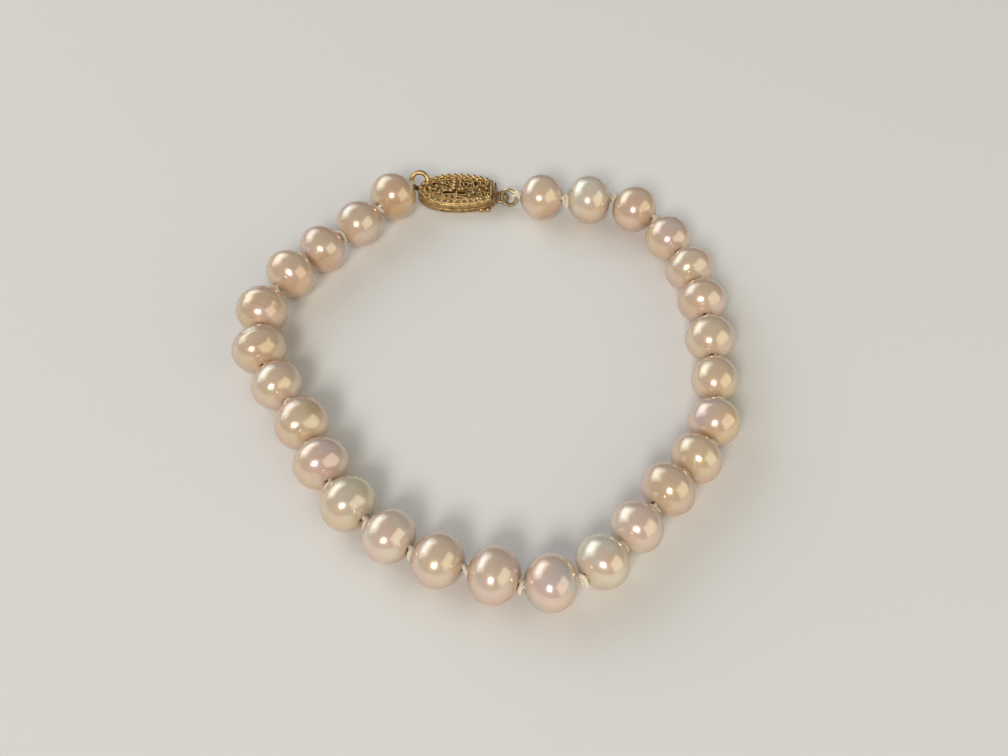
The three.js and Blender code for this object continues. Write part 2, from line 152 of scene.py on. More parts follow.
# Stains and painted shade on the nacre: which way from the pearl's middle, how wide in millimetres, and the
# tone. Pearl 20's patch is a stain; the orange-brown patches on the near side of 1, 25 and 27 are painted
# shade.
STAINS_AND_SHADE = {
    1: ((0.30, -0.92, -0.15), 2.4, (0.60, 0.34, 0.19)), 20: ((0.50, 0.05, 0.86), 1.5, (0.60, 0.43, 0.20)),
    25: ((0.30, -0.92, 0.10), 2.6, (0.62, 0.39, 0.21)), 27: ((0.20, -0.95, 0.0), 2.8, (0.60, 0.36, 0.19)),
}
SKIN_RINGS, SKIN_SIDES = 30, 48


def nacre(number, middle, across):
    body, overtone, ring_strength = NACRE[number]
    made = bpy.data.materials.new(f"nacre_{number:02d}")
    made.use_nodes = True
    tree = made.node_tree
    shader = tree.nodes["Principled BSDF"]
    skin = use(tree, nacre_skin, Body=(*body, 1), Overtone=(*overtone, 1),
               Rings=ring_strength, Turn=number * 1.7)
    tone = skin["Color"]
    # A stain on pearl 20, and painted orange-brown shade on the near side of pearls 1, 25 and 27.
    if number in STAINS_AND_SHADE:
        way, wide, stain_and_shade = STAINS_AND_SHADE[number]
        spot = middle * MM + Vector(way).normalized() * across / 2 * MM
        where = add(tree, "ShaderNodeTexCoord").outputs["Object"]
        away = add(tree, "ShaderNodeVectorMath", {0: where, 1: spot}, operation="DISTANCE").outputs["Value"]
        tone = blend(tree, ramp(tree, away, wide * MM, 0.2 * wide * MM, 0.0, 0.75), tone, (*stain_and_shade, 1))
    # Painted shade: seen edge-on, the nacre's colour is darkened and warmed towards its rim.
    facing = add(tree, "ShaderNodeLayerWeight", {"Blend": 0.35}).outputs["Facing"]
    painted_rim_shade = blend(tree, 1.0, tone, (0.86, 0.68, 0.50, 1), "MULTIPLY")
    rim = ramp(tree, facing, 0.15, 0.85)
    tree.links.new(blend(tree, rim, tone, painted_rim_shade), shader.inputs["Base Color"])
    tree.links.new(skin["Roughness"], shader.inputs["Roughness"])
    bump = add(tree, "ShaderNodeBump", {"Height": skin["Height"], "Strength": 0.12, "Distance": 0.0004})
    tree.links.new(bump.outputs[0], shader.inputs["Normal"])
    shader.inputs["IOR"].default_value = 1.7
    shader.inputs["Metallic"].default_value = 0.26
    shader.inputs["Coat Weight"].default_value = 1.0
    shader.inputs["Coat Roughness"].default_value = 0.035
    shader.inputs["Coat IOR"].default_value = 1.78
    shader.inputs["Subsurface Weight"].default_value = 0.25
    shader.inputs["Subsurface Radius"].default_value = (1.0, 0.7, 0.5)
    shader.inputs["Subsurface Scale"].default_value = 0.0012
    shader.inputs["Thin Film Thickness"].default_value = 380 + 17 * (number % 5)
    shader.inputs["Thin Film IOR"].default_value = 1.45
    return made


# The row as it is strung, in millimetres, from the hook's side of the clasp round to the box.
strung = []
for number in NACRE:
    low, high = (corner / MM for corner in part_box(f"pearl_{number:02d}"))
    middle = (low + high) / 2
    corners = [v.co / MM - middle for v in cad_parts[f"pearl_{number:02d}"].data.vertices]
    nearest = min(c.length for c in corners)
    rim = [c for c in corners if c.length < nearest + 0.02]
    hole = sum((c if c.dot(rim[0]) > 0 else -c for c in rim), Vector()).normalized()
    if strung and hole.dot(middle - strung[-1]["middle"]) < 0 or not strung and hole.x < 0:
        hole = -hole
    length = 2 * max(c.dot(hole) for c in corners)
    strung.append({"number": number, "middle": middle, "hole": hole,
                   "across": high.z - low.z, "length": length,
                   "enters": middle - hole * length / 2, "leaves": middle + hole * length / 2})


def pick(piece, chosen):
    bpy.ops.object.mode_set(mode="EDIT")
    bpy.ops.mesh.select_mode(type="VERT")
    bpy.ops.mesh.select_all(action="DESELECT")
    bpy.ops.object.mode_set(mode="OBJECT")
    for v in piece.data.vertices:
        v.select = chosen(v.co / MM)
    bpy.ops.object.mode_set(mode="EDIT")


# Rings grown into a pearl: where along the hole, as a share of its width, and how its width is scaled there.
RIDGES = {4: ((-0.2, 0.988),), 19: ((0.2, 0.986),), 20: ((0.1, 0.99),),
          22: ((0.12, 0.975), (-0.02, 1.012), (-0.18, 0.985)),
          23: ((0.18, 0.975), (0.05, 1.014), (-0.1, 0.978))}
# How far a pearl's skin wanders from a true round, in millimetres; the others wander by 0.2.
UNEVEN = {5: 0.36, 20: 0.34, 22: 0.3, 23: 0.3, 9: 0.28, 13: 0.12, 14: 0.1, 15: 0.14}
uneven = bpy.data.textures.new("uneven", "CLOUDS")
uneven.noise_scale, uneven.noise_depth = 4.2 * MM, 1

for each in strung:
    number, across = each["number"], each["across"]
    bpy.ops.object.select_all(action="DESELECT")
    bpy.ops.mesh.primitive_uv_sphere_add(segments=SKIN_SIDES, ring_count=SKIN_RINGS, radius=across / 2 * MM)
    pearl = bpy.context.object
    pearl.name = pearl.data.name = f"nacre_pearl_{number:02d}"
    # Drilled: the two end caps go, and their rims are pulled in and joined through the middle.
    pick(pearl, lambda p: math.hypot(p.x, p.y) < 0.1)
    bpy.ops.mesh.delete(type="VERT")
    bpy.ops.mesh.select_non_manifold()
    bpy.ops.mesh.extrude_region_move()
    bpy.ops.transform.resize(value=(0.96, 0.96, 0.985), center_override=(0, 0, 0))
    bpy.ops.mesh.extrude_region_move()
    bpy.ops.transform.resize(value=(0.97, 0.97, 0.9), center_override=(0, 0, 0))
    bpy.ops.mesh.bridge_edge_loops()
    # The nacre dips round the hole, and some pearls grew with rings round them.
    pick(pearl, lambda p: math.hypot(p.x, p.y) < 0.42 and abs(p.z) > across * 0.45)
    bpy.ops.transform.resize(value=(1, 1, 0.955), center_override=(0, 0, 0))
    for at, share in RIDGES.get(number, ()):
        pick(pearl, lambda p: abs(p.z - at * across) < 0.17)
        bpy.ops.transform.resize(value=(share, share, 1), center_override=(0, 0, 0))
    bpy.ops.object.mode_set(mode="OBJECT")
    pearl.scale = (1, 1, each["length"] / across)
    pearl.rotation_euler = each["hole"].to_track_quat("Z", "X").to_euler()
    pearl.location = each["middle"] * MM
    bpy.ops.object.transform_apply(location=True, rotation=True, scale=True)
    swell = pearl.modifiers.new("uneven", "DISPLACE")
    swell.texture, swell.texture_coords = uneven, "LOCAL"
    swell.strength, swell.mid_level = UNEVEN.get(number, 0.2) * MM, 0.5
    bpy.ops.object.modifier_apply(modifier="uneven")
    bpy.ops.object.shade_smooth()
    pearl.data.materials.append(nacre(number, each["middle"], across))
    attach(pearl, "root")
    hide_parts(f"pearl_{number:02d}")


# --------------------------------------------------------------------------------------------
# The silk. One cream silk thread, used double and so a little thick and ropy. It runs through
# every pearl, is tied in an overhand knot in each gap, and is looped through a ring at each end.
# --------------------------------------------------------------------------------------------

def drawn(name, runs, thickness, sides=2, steps=4):
    line = bpy.data.curves.new(name, "CURVE")
    line.dimensions, line.use_fill_caps = "3D", True
    line.bevel_depth, line.bevel_resolution, line.resolution_u = thickness * MM, sides, steps
    for run in runs:
        spline = line.splines.new("NURBS")
        spline.points.add(len(run) - 1)
        for point, corner in zip(spline.points, run):
            point.co = (*(Vector(corner) * MM), 1)
        spline.order_u, spline.use_endpoint_u = 4, True
    made = bpy.data.objects.new(name, line)
    bpy.context.scene.collection.objects.link(made)
    bpy.ops.object.select_all(action="DESELECT")
    made.select_set(True)
    bpy.context.view_layer.objects.active = made
    bpy.ops.object.convert(target="MESH")
    bpy.ops.object.shade_smooth()
    return bpy.context.object


def joined(name, parts):
    bpy.ops.object.select_all(action="DESELECT")
    for part in parts:
        part.select_set(True)
    bpy.context.view_layer.objects.active = parts[0]
    bpy.ops.object.join()
    made = bpy.context.object
    made.name = made.data.name = name
    return made


SILK_RADIUS, KNOT_BULK, KNOT_STEPS = 0.27, 0.82, 16
CURVE_END, CURVE_LENGTH, CURVE_WIDTH = 2.1, 3.6, 2.4


# An overhand knot, drawn as the thread runs through it from one hole to the next. It sags a little.
# The curve is (t^5/5 - 2t, t^3 - 3t, t^4 - 4t^2 + 2), brought to the size of the gap.
def knot(one, other, bulk):
    way = (other - one).normalized()
    side = way.cross(Vector((0, 0, 1))).normalized()
    rise = side.cross(way)
    half = (other - one).length / 2
    middle = (one + other) / 2
    sag = (middle - Vector((0, 0, middle.z))).normalized() * 0.12 - Vector((0, 0, 0.08))
    tied = []
    for step in range(KNOT_STEPS + 1):
        t = -CURVE_END + 2 * CURVE_END * step / KNOT_STEPS
        tuck = 1 if abs(t) < 1.8 else 0.35
        tied.append(middle + sag * tuck * (bulk / KNOT_BULK)
                    + way * (t ** 5 / 5 - 2 * t) * (half + 0.16) / CURVE_LENGTH
                    + side * (t ** 3 - 3 * t) * bulk / CURVE_WIDTH * tuck
                    + rise * (t ** 4 - 4 * t * t + 2) * bulk / CURVE_WIDTH * tuck)
    return tied


start, end = strung[0], strung[-1]
gaps = [(a["leaves"], b["enters"]) for a, b in zip(strung, strung[1:])]
run = knot(start["enters"] - start["hole"] * 0.85, start["enters"] - start["hole"] * 0.15, 0.42)
for each, (one, other) in zip(strung, gaps):
    run += [each["middle"], *knot(one, other, min(KNOT_BULK, 0.5 + 0.9 * (other - one).length / 2))]
run += [end["middle"], *knot(end["leaves"] + end["hole"] * 0.1, end["leaves"] + end["hole"] * 0.7, 0.36)]


# The thread's end, taken round a ring's wire and back to its knot.
def loop_on(middle, faces, radius, reach, tie):
    faces = faces.normalized()
    out = tie - middle
    out = (out - faces * out.dot(faces)).normalized()
    wire, along = middle + out * radius, faces.cross(out)
    to_tie = tie - wire
    to_tie = (to_tie - along * to_tie.dot(along)).normalized()
    over = along.cross(to_tie)
    return [tie, wire + over * reach + to_tie * reach, wire + over * reach - to_tie * reach * 0.5,
            wire - to_tie * reach * 1.3, wire - over * reach - to_tie * reach * 0.5,
            wire - over * reach + to_tie * reach, tie]


# The rings that the thread is looped on lie where the jump ring and the clasp's tip are. The clasp
# lies a little tilted, and the tip ring makes its outline longer on one side of its middle.
low, high = (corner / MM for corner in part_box("jump_ring"))
JUMP_RING, JUMP_RING_FACES, JUMP_RING_RADIUS = (low + high) / 2, Vector((-0.42, -0.86, 0.3)), 1.14
low, high = (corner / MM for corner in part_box("clasp_box"))
clasp_middle = Vector(((low.x + high.x) / 2 + 0.67, (low.y + high.y) / 2, low.z + 1.34))
clasp_lies = (Matrix.Translation(clasp_middle * MM)
              @ Matrix.Rotation(math.radians(-1), 4, "Z") @ Matrix.Rotation(math.radians(9), 4, "X"))
TIP_RING, TIP_RING_FACES, TIP_RING_RADIUS = Vector((-5.24, 1.19, 1.35)), Vector((0, -0.695, 0.719)), 1.15
loops = [loop_on(JUMP_RING, JUMP_RING_FACES, JUMP_RING_RADIUS, 0.46, start["enters"] - start["hole"] * 0.5),
         loop_on(clasp_lies @ (TIP_RING * MM) / MM, clasp_lies.to_3x3() @ TIP_RING_FACES, TIP_RING_RADIUS,
                 0.5, end["leaves"] + end["hole"] * 0.4)]

silk = joined("knotted_silk", [drawn("strand", [run], SILK_RADIUS), drawn("loops", loops, SILK_RADIUS * 0.8)])
silk_finish = bpy.data.materials.new("cream_silk")
silk_finish.use_nodes = True
tree = silk_finish.node_tree
shader = tree.nodes["Principled BSDF"]
place = add(tree, "ShaderNodeTexCoord").outputs
fibres = add(tree, "ShaderNodeTexNoise",
             {"Vector": place["Object"], "Scale": 5200.0, "Detail": 3.0}).outputs[0]
grime = add(tree, "ShaderNodeTexNoise", {"Vector": place["Object"], "Scale": 700.0, "Detail": 2.0}).outputs[0]
worn = blend(tree, ramp(tree, grime, 0.45, 0.75), (0.87, 0.76, 0.60, 1), (0.75, 0.61, 0.44, 1))
combed = blend(tree, ramp(tree, fibres, 0.3, 0.7), worn, (0.93, 0.84, 0.69, 1))
tree.links.new(combed, shader.inputs["Base Color"])
bump = add(tree, "ShaderNodeBump", {"Height": fibres, "Strength": 0.6, "Distance": 0.00006})
tree.links.new(bump.outputs[0], shader.inputs["Normal"])
shader.inputs["Roughness"].default_value = 0.62
shader.inputs["Sheen Weight"].default_value = 0.25
shader.inputs["Subsurface Weight"].default_value = 0.2
shader.inputs["Subsurface Scale"].default_value = 0.0003
silk.data.materials.append(silk_finish)
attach(silk, "root")
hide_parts("silk_thread")


# --------------------------------------------------------------------------------------------
# The clasp's box. Old yellow gold: a lower shell and a cover soldered along a seam, a pierced face
# with a beaded border, scrolls and granules, and a ring at its tip for the silk. It is made flat,
# u along it to the mouth, v across and w out of its face, then laid in its place.
# --------------------------------------------------------------------------------------------

# Gold is darker where it is sheltered, partly from tarnish and partly as painted shade. "hollow" on a mesh
# says how sheltered each point is.
gold_tarnish_and_shade, tarnish_shade_in, tarnish_shade_out = group(
    "gold_tarnish_and_shade",
    [("Bright", "NodeSocketColor", (0.8, 0.6, 0.3, 1)), ("Dark", "NodeSocketColor", (0.2, 0.1, 0.05, 1))],
    [("Color", "NodeSocketColor"), ("Roughness", "NodeSocketFloat"), ("Height", "NodeSocketFloat")])
place = add(gold_tarnish_and_shade, "ShaderNodeTexCoord").outputs
sheltered = add(gold_tarnish_and_shade, "ShaderNodeAttribute", attribute_name="hollow").outputs["Fac"]
film = add(gold_tarnish_and_shade, "ShaderNodeTexNoise",
           {"Vector": place["Object"], "Scale": 1300.0, "Detail": 4.0, "Roughness": 0.6}).outputs[0]
grain = add(gold_tarnish_and_shade, "ShaderNodeTexNoise",
            {"Vector": place["Object"], "Scale": 6500.0, "Detail": 2.0}).outputs[0]
film_shift = ramp(gold_tarnish_and_shade, film, 0.25, 0.75, -0.28, 0.28)
tarnish_and_shade = add(gold_tarnish_and_shade, "ShaderNodeMath", {0: sheltered, 1: film_shift},
           operation="ADD", use_clamp=True).outputs[0]
tarnish_and_shade_mask = ramp(gold_tarnish_and_shade, tarnish_and_shade, 0.12, 0.95)
gold_tarnish_and_shade.links.new(blend(gold_tarnish_and_shade, tarnish_and_shade_mask, tarnish_shade_in["Bright"], tarnish_shade_in["Dark"]), tarnish_shade_out["Color"])
gold_tarnish_and_shade.links.new(ramp(gold_tarnish_and_shade, tarnish_and_shade, 0.0, 1.0, 0.38, 0.68), tarnish_shade_out["Roughness"])
gold_tarnish_and_shade.links.new(grain, tarnish_shade_out["Height"])


def gold(name, bright, dark):
    made = bpy.data.materials.new(name)
    made.use_nodes = True
    tree = made.node_tree
    shader = tree.nodes["Principled BSDF"]
    tarnish_shade = use(tree, gold_tarnish_and_shade, Bright=(*bright, 1), Dark=(*dark, 1))
    tree.links.new(tarnish_shade["Color"], shader.inputs["Base Color"])
    tree.links.new(tarnish_shade["Roughness"], shader.inputs["Roughness"])
    bump = add(tree, "ShaderNodeBump", {"Height": tarnish_shade["Height"], "Strength": 0.5, "Distance": 0.00004})
    tree.links.new(bump.outputs[0], shader.inputs["Normal"])
    shader.inputs["Metallic"].default_value = 1.0
    return made


# How sheltered a part is, for its tarnish and painted shade: darkest at or below one height, brightest at or
# above another.
def tarnished_and_shaded(part, deep, brightest, least=0.0):
    level = part.data.attributes.new("hollow", "FLOAT", "POINT")
    for v, value in zip(part.data.vertices, level.data):
        value.value = max(least, min(1.0, (brightest - v.co.z / MM) / (brightest - deep)))
    return part


HALF_WIDTH, TIP, MOUTH, TAPER = 2.85, 5.5, 5.3, 6.67
FACE, CROWN = 0.74, 0.24


# The face is pressed up a little in the middle, with all that is soldered on it.
def domed(part):
    for v in part.data.vertices:
        v.co.z += CROWN * MM * max(0, 1 - (v.co.x / MM / 5.2) ** 2 - (v.co.y / MM / 2.4) ** 2)
    return part


def edge_of_box(turn, inset):
    reach = (TIP if math.cos(turn) < 0 else TAPER) - inset
    return reach * math.cos(turn), (HALF_WIDTH - inset) * math.sin(turn)


def plate(inset, bottom, top, mouth=MOUTH, rounding=0.0):
    bpy.ops.object.select_all(action="DESELECT")
    bpy.ops.mesh.primitive_circle_add(vertices=96, radius=(HALF_WIDTH - inset) * MM, fill_type="NGON",
                                      location=(0, 0, bottom * MM))
    made = bpy.context.object
    bpy.ops.object.transform_apply(location=True)
    for side, reach in ((-1, TIP), (1, TAPER)):
        pick(made, lambda p: p.x * side > 0.001)
        stretch = (reach - inset) / (HALF_WIDTH - inset)
        bpy.ops.transform.resize(value=(stretch, 1, 1), center_override=(0, 0, 0))
    bpy.ops.mesh.select_all(action="SELECT")
    bpy.ops.mesh.bisect(plane_co=(mouth * MM, 0, 0), plane_no=(1, 0, 0), clear_outer=True)
    bpy.ops.mesh.select_all(action="SELECT")
    bpy.ops.mesh.extrude_region_move(TRANSFORM_OT_translate={"value": (0, 0, (top - bottom) * MM)})
    bpy.ops.mesh.select_all(action="SELECT")
    bpy.ops.mesh.normals_make_consistent(inside=False)
    if rounding:
        pick(made, lambda p: abs(p.z - top) < 0.001)
        bpy.ops.mesh.bevel(offset=rounding * MM, segments=4, profile=0.5)
        pick(made, lambda p: abs(p.z - bottom) < 0.001)
        bpy.ops.mesh.bevel(offset=rounding * MM, segments=4, profile=0.5)
    bpy.ops.object.mode_set(mode="OBJECT")
    return made


def bead(middle, size, sides=14, turn=0.0):
    bpy.ops.object.select_all(action="DESELECT")
    bpy.ops.mesh.primitive_uv_sphere_add(segments=sides, ring_count=sides * 2 // 3, radius=MM,
                                         location=Vector(middle) * MM, scale=size, rotation=(0, 0, turn))
    bpy.ops.object.transform_apply(location=True, rotation=True, scale=True)
    bpy.ops.object.shade_smooth()
    return bpy.context.object


def ring(name, middle, faces, radius, wire):
    bpy.ops.object.select_all(action="DESELECT")
    bpy.ops.mesh.primitive_torus_add(major_segments=56, minor_segments=14, major_radius=radius * MM,
                                     minor_radius=wire * MM, location=Vector(middle) * MM,
                                     rotation=Vector(faces).to_track_quat("Z", "Y").to_euler())
    bpy.ops.object.transform_apply(location=True, rotation=True, scale=True)
    bpy.ops.object.shade_smooth()
    bpy.context.object.name = name
    return bpy.context.object


def cut_away(part, cutter):
    bpy.ops.object.select_all(action="DESELECT")
    part.select_set(True)
    bpy.context.view_layer.objects.active = part
    tool = part.modifiers.new("cut", "BOOLEAN")
    tool.object, tool.operation, tool.solver = cutter, "DIFFERENCE", "EXACT"
    bpy.ops.object.modifier_apply(modifier="cut")
    bpy.data.objects.remove(cutter)
    return part


parts = []
# The lower shell, the seam and the cover's side, hollowed out in one and open at the mouth.
# Each band is darkened by tarnish and painted shade: the inset seam almost fully, the lower shell more than
# the cover's side.
for inset, bottom, top, rounding, least in ((0, -0.9, -0.14, 0.16, 0.42), (0.17, -0.3, 0.0, 0, 0.95),
                                            (0.0, -0.02, 0.86, 0.2, 0.34)):
    band = plate(inset, bottom, top, MOUTH, rounding)
    pocket = plate(0.36, -0.62, 1.2, MOUTH + 0.6)
    cut_away(band, pocket)
    parts.append(tarnished_and_shaded(band, -1.6, -0.3, least))

# The openwork face: a thin plate, pierced, that sits just inside the rim.
PIERCED = [  # u, v, length, width, turn in degrees
    (-1.12, -0.60, 1.6, 0.44, 0), (0.80, -0.70, 1.5, 0.42, -3), (-1.25, 1.00, 0.7, 0.5, 12),
    (1.50, 0.90, 1.3, 0.7, -12), (-3.50, -0.38, 0.8, 0.36, -8), (-3.0, 1.0, 0.7, 0.3, 22),
    (3.45, -1.00, 1.0, 0.36, 8), (-2.0, -1.75, 1.0, 0.22, -16), (1.4, -1.86, 1.3, 0.22, -4),
    (3.97, 1.19, 0.56, 0.56, 0), (2.75, 1.05, 0.5, 0.6, -20), (4.5, -0.3, 0.4, 0.5, 0),
]
face = plate(0.3, FACE - 0.22, FACE, MOUTH - 0.15)
bpy.ops.object.mode_set(mode="EDIT")
for u in range(-5, 6):
    bpy.ops.mesh.select_all(action="SELECT")
    bpy.ops.mesh.bisect(plane_co=(u * MM, 0, 0), plane_no=(1, 0, 0))
for v in range(-2, 3):
    bpy.ops.mesh.select_all(action="SELECT")
    bpy.ops.mesh.bisect(plane_co=(0, (v + 0.01) * MM, 0), plane_no=(0, 1, 0))
bpy.ops.object.mode_set(mode="OBJECT")
holes = []
for u, v, length, width, turn in PIERCED:
    bpy.ops.mesh.primitive_cylinder_add(
        vertices=24, radius=0.5 * MM, depth=2 * MM, location=(u * MM, v * MM, FACE * MM),
        scale=(length, width, 1), rotation=(0, 0, math.radians(turn)))
    bpy.ops.object.transform_apply(location=True, rotation=True, scale=True)
    holes.append(bpy.context.object)
cut_away(face, joined("piercing", holes))
parts.append(domed(tarnished_and_shaded(face, FACE - 0.3, FACE + 0.22)))

# The border: a round wire all along the edge with beads on it, sharp on the far side and rubbed
# nearly flat on the near side.
round_edge = [(*edge_of_box(math.radians(a), 0.42), 0.72) for a in range(40, 321, 8)]
parts.append(tarnished_and_shaded(drawn("rim_wire", [round_edge], 0.34, steps=2, sides=3), 0.3, 0.8, 0.3))
near_edge = [(*edge_of_box(math.radians(a), 0.62), 0.62) for a in range(188, 317, 8)]
parts.append(tarnished_and_shaded(drawn("near_rim", [near_edge], 0.42, steps=2, sides=3), 0.3, 0.8, 0.3))
mouth_line = [(MOUTH - 0.25, 1.75, 0.72), (MOUTH - 0.22, 0.6, 0.74),
              (MOUTH - 0.22, -0.6, 0.74), (MOUTH - 0.25, -1.75, 0.72)]
parts.append(tarnished_and_shaded(drawn("mouth_wire", [mouth_line], 0.24, steps=3, sides=3), 0.5, 0.8, 0.35))
BEAD_PITCH, BEAD_START = 0.93, 0.75
walked, last_spot, due = 0.0, None, BEAD_START
for step in range(1400):
    turn = math.radians(37 + step * 286 / 1400)
    spot = Vector((*edge_of_box(turn, 0.40), 0))
    if last_spot:
        walked += (spot - last_spot).length
        if walked >= due:
            due += BEAD_PITCH
            heading = math.atan2(*(spot - last_spot).yx)
            if spot.y > -0.4:
                granule = bead((spot.x, spot.y, 0.98), (0.40, 0.38, 0.37), turn=heading)
            else:
                granule = bead((spot.x, spot.y + 0.12, 0.92), (0.47, 0.42, 0.20), turn=heading)
            parts.append(tarnished_and_shaded(granule, 0.72, 1.05))
    last_spot = spot

# A fine rope of two twisted wires lies inside the border.
ROPE_STEPS, ROPE_TWISTS, ROPE_SPREAD, ROPE_WIRE = 430, 43, 0.085, 0.10
for strand in (0, math.pi):
    rope = []
    for step in range(ROPE_STEPS):
        along = math.radians(46 + step * 268 / ROPE_STEPS)
        u, v = edge_of_box(along, 0.98)
        twist = strand + step * 2 * math.pi * ROPE_TWISTS / ROPE_STEPS
        lean = 1 - ROPE_SPREAD * math.cos(twist) / 2.2
        rope.append((u * lean, v * lean, FACE + 0.1 + ROPE_SPREAD * math.sin(twist)))
    parts.append(domed(tarnished_and_shaded(drawn("rope", [rope], ROPE_WIRE, steps=1), FACE - 0.05, FACE + 0.22)))

# The cross rib and the granules that stud the face.
GRANULES = [  # u, v, radius, height above the face
    (-0.25, 1.72, 0.33, 0.22), (-0.25, 1.15, 0.36, 0.28), (-0.3, 0.55, 0.33, 0.28), (-0.36, 0.02, 0.35, 0.26),
    (-0.72, -0.36, 0.33, 0.2), (-1.62, -0.28, 0.27, 0.12), (-1.9, 0.1, 0.28, 0.14), (-1.95, 1.02, 0.3, 0.15),
    (-2.75, 0.46, 0.32, 0.16), (-3.75, 0.2, 0.36, 0.14), (-2.35, 1.62, 0.24, 0.08), (-1.1, 1.75, 0.24, 0.08),
    (0.62, 1.32, 0.28, 0.14), (0.5, -0.12, 0.28, 0.14), (0.95, -0.05, 0.24, 0.12), (0.75, 2.0, 0.24, 0.08),
    (2.2, 1.0, 0.24, 0.1), (2.5, -0.5, 0.24, 0.08), (3.28, -1.98, 0.32, 0.14), (4.72, -1.28, 0.36, 0.16),
    (2.42, -1.75, 0.24, 0.1), (-4.5, 0.05, 0.24, 0.1), (-0.15, -1.3, 0.24, 0.1), (3.05, 0.42, 0.24, 0.12),
    (3.4, -0.02, 0.22, 0.1), (4.35, 0.22, 0.26, 0.12), (1.2, 1.75, 0.22, 0.08), (-0.75, 0.55, 0.22, 0.12),
    (1.95, -1.2, 0.22, 0.1), (-1.65, -1.25, 0.22, 0.08), (-2.9, 0.02, 0.22, 0.1), (4.0, -1.75, 0.24, 0.1),
]
for u, v, radius, lift in GRANULES:
    granule = bead((u, v, FACE + lift), (radius, radius, radius))
    parts.append(domed(tarnished_and_shaded(granule, FACE - 0.02, FACE + lift + 0.12)))

# Scrolls, rails and stems of round wire, soldered flat on the face.
WIRES = [  # thickness, then the way that the wire runs
    (0.15, [(-0.12, 2.1), (-0.12, 1.3), (-0.2, 0.5), (-0.4, -0.15), (-0.95, -0.48), (-1.35, -0.2)]),
    (0.14, [(0.18, 2.1), (0.22, 1.2), (0.16, 0.2), (0.1, -0.9), (-0.02, -1.7), (0.0, -2.2)]),
    (0.16, [(-3.2, -0.95), (-2.36, -1.22), (-1.3, -1.62), (-0.1, -1.98)]),
    (0.16, [(0.15, -1.32), (0.9, -1.42), (1.7, -1.58), (2.4, -1.92)]),
    (0.14, [(-1.9, -0.95), (-1.1, -1.0), (-0.5, -0.98), (0.1, -0.9)]),
    (0.12, [(0.1, -1.02), (1.0, -1.08), (1.9, -0.98), (2.5, -0.62)]),
    (0.13, [(-4.3, 0.62), (-3.6, 0.75), (-3.0, 0.42), (-2.4, 0.3), (-1.95, 0.62), (-1.35, 0.42),
            (-1.3, -0.05)]),
    (0.13, [(-3.3, 1.3), (-2.6, 1.25), (-2.3, 0.85), (-1.9, 1.4), (-1.2, 1.5), (-0.7, 1.1), (-0.8, 0.6)]),
    (0.13, [(0.5, 1.9), (0.6, 0.9), (0.5, 0.3), (1.0, 0.12), (1.6, 0.18)]),
    (0.12, [(1.5, 1.9), (2.1, 1.75), (2.5, 1.2), (2.55, 0.5), (2.9, -0.1), (3.4, -0.42), (4.7, -0.45)]),
    (0.13, [(2.9, -1.55), (3.4, -1.4), (4.1, -1.35), (4.6, -0.9)]),
    (0.13, [(-4.7, -0.3), (-4.1, -0.75), (-3.5, -0.85), (-2.9, -0.62), (-2.4, -0.7)]),
]
for thickness, way in WIRES:
    stem = [(u, v, FACE + 0.06 + 0.02 * (n % 2)) for n, (u, v) in enumerate(way)]
    parts.append(domed(tarnished_and_shaded(drawn("stem", [stem], thickness), FACE - 0.05, FACE + 0.2)))
    for u, v, w in (stem[0], stem[-1]):
        parts.append(domed(tarnished_and_shaded(bead((u, v, w), [thickness * 1.45] * 3, 10), FACE - 0.05, FACE + 0.2)))

SCROLLS = [  # u, v, radius, turns, first angle, thickness
    (3.95, 1.15, 0.72, 1.5, -150, 0.17), (-1.25, 1.0, 0.42, 1.2, 20, 0.12),
    (-3.3, -0.3, 0.42, 1.2, 160, 0.12), (1.5, 0.85, 0.5, 1.1, 100, 0.12),
    (3.35, -0.95, 0.42, 1.1, -60, 0.12), (-2.05, -0.45, 0.34, 1.1, 70, 0.11),
    (2.1, -0.02, 0.36, 1.2, 210, 0.11), (-0.85, -1.38, 0.26, 1.0, 20, 0.10),
    (4.35, -0.72, 0.28, 1.0, 150, 0.10),
]
for u, v, radius, turns, first_angle, thickness in SCROLLS:
    spiral = []
    for step in range(int(turns * 12) + 1):
        turn = math.radians(first_angle + 30 * step)
        reach = radius * (1 - 0.55 * step / (turns * 12))
        rise = 0.1 + 0.12 * step / (turns * 12)
        spiral.append((u + reach * math.cos(turn), v + reach * math.sin(turn), FACE + rise))
    parts.append(domed(tarnished_and_shaded(drawn("scroll", [spiral], thickness, steps=3), FACE - 0.05, FACE + 0.26)))

# The catch bar inside the mouth, and the balls beside it.
bar_line = [(4.75, v, 0.42) for v in (-1.9, -0.6, 0.6, 1.9)]
bar = drawn("catch_bar", [bar_line], 0.2, steps=2)
parts.append(tarnished_and_shaded(bar, -0.2, 0.5, 0.3))
for side in (-1, 1):
    for u, v, w, radius in ((3.62, 2.42, -0.6, 0.36), (4.55, 2.4, -0.58, 0.38)):
        parts.append(tarnished_and_shaded(bead((u, side * v, w), (radius, radius, radius), 20), -1.4, -0.6, 0.1))

# The ring for the silk, leaning on the tip, with its solder.
parts.append(tarnished_and_shaded(ring("tip_ring", TIP_RING, TIP_RING_FACES, TIP_RING_RADIUS, 0.34), 0.2, 2.6, 0.3))
parts.append(tarnished_and_shaded(bead((-5.1, 0.42, 0.62), (0.42, 0.36, 0.3)), 0.2, 0.8, 0.1))

box = joined("filigree_box", parts)
old_gold = gold("old_gold", (0.62, 0.425, 0.19), (0.15, 0.087, 0.04))


